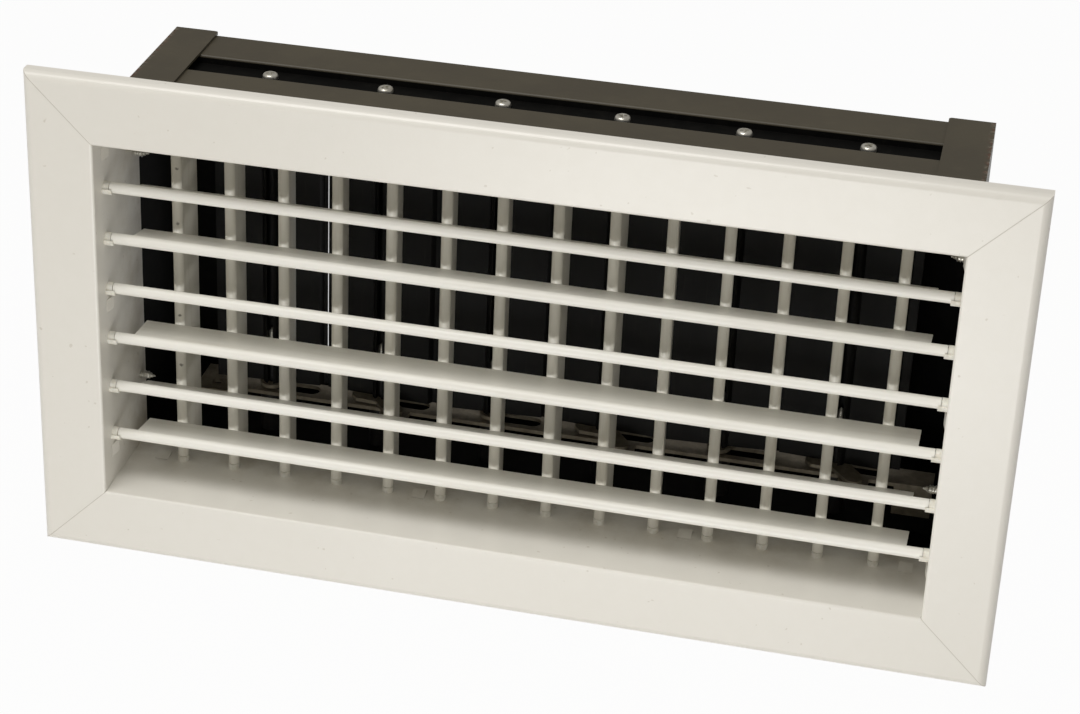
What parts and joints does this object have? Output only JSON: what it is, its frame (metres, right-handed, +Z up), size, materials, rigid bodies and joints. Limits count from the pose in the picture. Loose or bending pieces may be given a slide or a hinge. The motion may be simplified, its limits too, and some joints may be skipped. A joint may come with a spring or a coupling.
{
  "type": "double deflection supply grille",
  "caption": "Flanged wall grille with a front row of horizontal and a rear row of vertical adjustable blades, and an opposed-blade damper behind them",
  "frame": {"origin": "centre of the opening, in the plane of the flange's seating edge", "axes": "+X across the face, +Y from the room into the duct, +Z up"},
  "size_m": [0.35, 0.0969, 0.19],
  "materials": {
    "frame_white": "off-white powder coat on extruded aluminium, satin",
    "blade_white": "off-white powder coat on extruded aluminium, satin",
    "nylon_white": "natural white nylon",
    "mill_aluminium": "mill finish",
    "casing_black": "brown-black paint on steel sheet, satin",
    "damper_dark": "matt black paint on extruded aluminium",
    "nylon_black": "black nylon",
    "link_steel": "dull zinc-plated sheet",
    "zinc_screw": "bright zinc plating"
  },
  "bodies": {
    "frame": {"frame_top": "frame_white", "frame_bottom": "frame_white", "frame_right": "frame_white", "frame_left": "frame_white", "corner_keys": "mill_aluminium", "front_bushes_left": "nylon_white", "front_bushes_right": "nylon_white", "rear_bushes_top": "nylon_white", "rear_bushes_bottom": "nylon_white", "damper_channel_top": "casing_black", "damper_channel_bottom": "casing_black", "damper_cap_left": "casing_black", "damper_cap_right": "casing_black", "fixing_screws": "zinc_screw", "bearing_sleeves": "nylon_black", "bearing_washers": "nylon_black"},
    "front_blade_1": {"front_blade_1": "blade_white"},
    "front_blade_2": {"front_blade_2": "blade_white"},
    "front_blade_3": {"front_blade_3": "blade_white"},
    "front_blade_4": {"front_blade_4": "blade_white"},
    "front_blade_5": {"front_blade_5": "blade_white"},
    "front_blade_6": {"front_blade_6": "blade_white"},
    "rear_blade_1": {"rear_blade_1": "blade_white"},
    "rear_blade_2": {"rear_blade_2": "blade_white"},
    "rear_blade_3": {"rear_blade_3": "blade_white"},
    "rear_blade_4": {"rear_blade_4": "blade_white"},
    "rear_blade_5": {"rear_blade_5": "blade_white"},
    "rear_blade_6": {"rear_blade_6": "blade_white"},
    "rear_blade_7": {"rear_blade_7": "blade_white"},
    "rear_blade_8": {"rear_blade_8": "blade_white"},
    "rear_blade_9": {"rear_blade_9": "blade_white"},
    "rear_blade_10": {"rear_blade_10": "blade_white"},
    "rear_blade_11": {"rear_blade_11": "blade_white"},
    "rear_blade_12": {"rear_blade_12": "blade_white"},
    "rear_blade_13": {"rear_blade_13": "blade_white"},
    "rear_blade_14": {"rear_blade_14": "blade_white"},
    "damper_1": {"damper_blade_1": "damper_dark", "crank_1": "link_steel", "pivot_screws_1": "zinc_screw"},
    "damper_2": {"damper_blade_2": "damper_dark", "crank_2": "link_steel", "pivot_screws_2": "zinc_screw"},
    "damper_3": {"damper_blade_3": "damper_dark", "crank_3": "link_steel", "pivot_screws_3": "zinc_screw"},
    "damper_4": {"damper_blade_4": "damper_dark", "crank_4": "link_steel", "pivot_screws_4": "zinc_screw"},
    "damper_5": {"damper_blade_5": "damper_dark", "crank_5": "link_steel", "pivot_screws_5": "zinc_screw"},
    "damper_6": {"damper_blade_6": "damper_dark", "crank_6": "link_steel", "pivot_screws_6": "zinc_screw"},
    "gang_bar": {"gang_bar": "link_steel"}
  },
  "joints": [
    {"name": "front_blade_1_tilt", "type": "hinge", "parent": "frame", "child": "front_blade_1", "pos_m": [0, 0.0045, 0.05], "axis": [1, 0, 0], "range_deg": [-16, 54]},
    {"name": "front_blade_2_tilt", "type": "hinge", "parent": "frame", "child": "front_blade_2", "pos_m": [0, 0.0045, 0.03], "axis": [1, 0, 0], "range_deg": [-23.5, 46.5]},
    {"name": "front_blade_3_tilt", "type": "hinge", "parent": "frame", "child": "front_blade_3", "pos_m": [0, 0.0045, 0.01], "axis": [1, 0, 0], "range_deg": [-12, 58]},
    {"name": "front_blade_4_tilt", "type": "hinge", "parent": "frame", "child": "front_blade_4", "pos_m": [0, 0.0045, -0.01], "axis": [1, 0, 0], "range_deg": [-32, 38]},
    {"name": "front_blade_5_tilt", "type": "hinge", "parent": "frame", "child": "front_blade_5", "pos_m": [0, 0.0045, -0.03], "axis": [1, 0, 0], "range_deg": [-15, 55]},
    {"name": "front_blade_6_tilt", "type": "hinge", "parent": "frame", "child": "front_blade_6", "pos_m": [0, 0.0045, -0.05], "axis": [1, 0, 0], "range_deg": [-27.5, 42.5]},
    {"name": "rear_blade_1_swing", "type": "hinge", "parent": "frame", "child": "rear_blade_1", "pos_m": [-0.13, 0.0245, 0], "axis": [0, 0, 1], "range_deg": [-30, 50]},
    {"name": "rear_blade_2_swing", "type": "hinge", "parent": "frame", "child": "rear_blade_2", "pos_m": [-0.11, 0.0245, 0], "axis": [0, 0, 1], "range_deg": [-37, 43]},
    {"name": "rear_blade_3_swing", "type": "hinge", "parent": "frame", "child": "rear_blade_3", "pos_m": [-0.09, 0.0245, 0], "axis": [0, 0, 1], "range_deg": [-41, 39]},
    {"name": "rear_blade_4_swing", "type": "hinge", "parent": "frame", "child": "rear_blade_4", "pos_m": [-0.07, 0.0245, 0], "axis": [0, 0, 1], "range_deg": [-41, 39]},
    {"name": "rear_blade_5_swing", "type": "hinge", "parent": "frame", "child": "rear_blade_5", "pos_m": [-0.05, 0.0245, 0], "axis": [0, 0, 1], "range_deg": [-40.5, 39.5]},
    {"name": "rear_blade_6_swing", "type": "hinge", "parent": "frame", "child": "rear_blade_6", "pos_m": [-0.03, 0.0245, 0], "axis": [0, 0, 1], "range_deg": [-40, 40]},
    {"name": "rear_blade_7_swing", "type": "hinge", "parent": "frame", "child": "rear_blade_7", "pos_m": [-0.01, 0.0245, 0], "axis": [0, 0, 1], "range_deg": [-40, 40]},
    {"name": "rear_blade_8_swing", "type": "hinge", "parent": "frame", "child": "rear_blade_8", "pos_m": [0.01, 0.0245, 0], "axis": [0, 0, 1], "range_deg": [-34, 46]},
    {"name": "rear_blade_9_swing", "type": "hinge", "parent": "frame", "child": "rear_blade_9", "pos_m": [0.03, 0.0245, 0], "axis": [0, 0, 1], "range_deg": [-33, 47]},
    {"name": "rear_blade_10_swing", "type": "hinge", "parent": "frame", "child": "rear_blade_10", "pos_m": [0.05, 0.0245, 0], "axis": [0, 0, 1], "range_deg": [-40, 40]},
    {"name": "rear_blade_11_swing", "type": "hinge", "parent": "frame", "child": "rear_blade_11", "pos_m": [0.07, 0.0245, 0], "axis": [0, 0, 1], "range_deg": [-41, 39]},
    {"name": "rear_blade_12_swing", "type": "hinge", "parent": "frame", "child": "rear_blade_12", "pos_m": [0.09, 0.0245, 0], "axis": [0, 0, 1], "range_deg": [-40, 40]},
    {"name": "rear_blade_13_swing", "type": "hinge", "parent": "frame", "child": "rear_blade_13", "pos_m": [0.11, 0.0245, 0], "axis": [0, 0, 1], "range_deg": [-40, 40]},
    {"name": "rear_blade_14_swing", "type": "hinge", "parent": "frame", "child": "rear_blade_14", "pos_m": [0.13, 0.0245, 0], "axis": [0, 0, 1], "range_deg": [-40.5, 39.5]},
    {"name": "damper_blade_1_turn", "type": "hinge", "parent": "frame", "child": "damper_1", "pos_m": [-0.10675, 0.06246, 0], "axis": [0, 0, 1], "range_deg": [-3.5, 80.5]},
    {"name": "damper_blade_2_turn", "type": "hinge", "parent": "frame", "child": "damper_2", "pos_m": [-0.06325, 0.06246, 0], "axis": [0, 0, 1], "range_deg": [-80.5, 3.5]},
    {"name": "damper_blade_3_turn", "type": "hinge", "parent": "frame", "child": "damper_3", "pos_m": [-0.01975, 0.06246, 0], "axis": [0, 0, 1], "range_deg": [-3.5, 80.5]},
    {"name": "damper_blade_4_turn", "type": "hinge", "parent": "frame", "child": "damper_4", "pos_m": [0.02375, 0.06246, 0], "axis": [0, 0, 1], "range_deg": [-80.5, 3.5]},
    {"name": "damper_blade_5_turn", "type": "hinge", "parent": "frame", "child": "damper_5", "pos_m": [0.06725, 0.06246, 0], "axis": [0, 0, 1], "range_deg": [-3.5, 80.5]},
    {"name": "damper_blade_6_turn", "type": "hinge", "parent": "frame", "child": "damper_6", "pos_m": [0.11075, 0.06246, 0], "axis": [0, 0, 1], "range_deg": [-80.5, 3.5]},
    {"name": "gang_bar_slide", "type": "slide", "parent": "frame", "child": "gang_bar", "axis": [-1, 0, 0], "range_m": [-0.00068, 0.01568]}
  ],
  "couplings": [
    {"joint": "damper_blade_2_turn", "follows": "damper_blade_1_turn", "ratio": -1},
    {"joint": "damper_blade_3_turn", "follows": "damper_blade_1_turn", "ratio": 1},
    {"joint": "damper_blade_4_turn", "follows": "damper_blade_1_turn", "ratio": -1},
    {"joint": "damper_blade_5_turn", "follows": "damper_blade_1_turn", "ratio": 1},
    {"joint": "damper_blade_6_turn", "follows": "damper_blade_1_turn", "ratio": -1},
    {"joint": "gang_bar_slide", "follows": "damper_blade_1_turn", "m_per_rad": 0.01116}
  ]
}
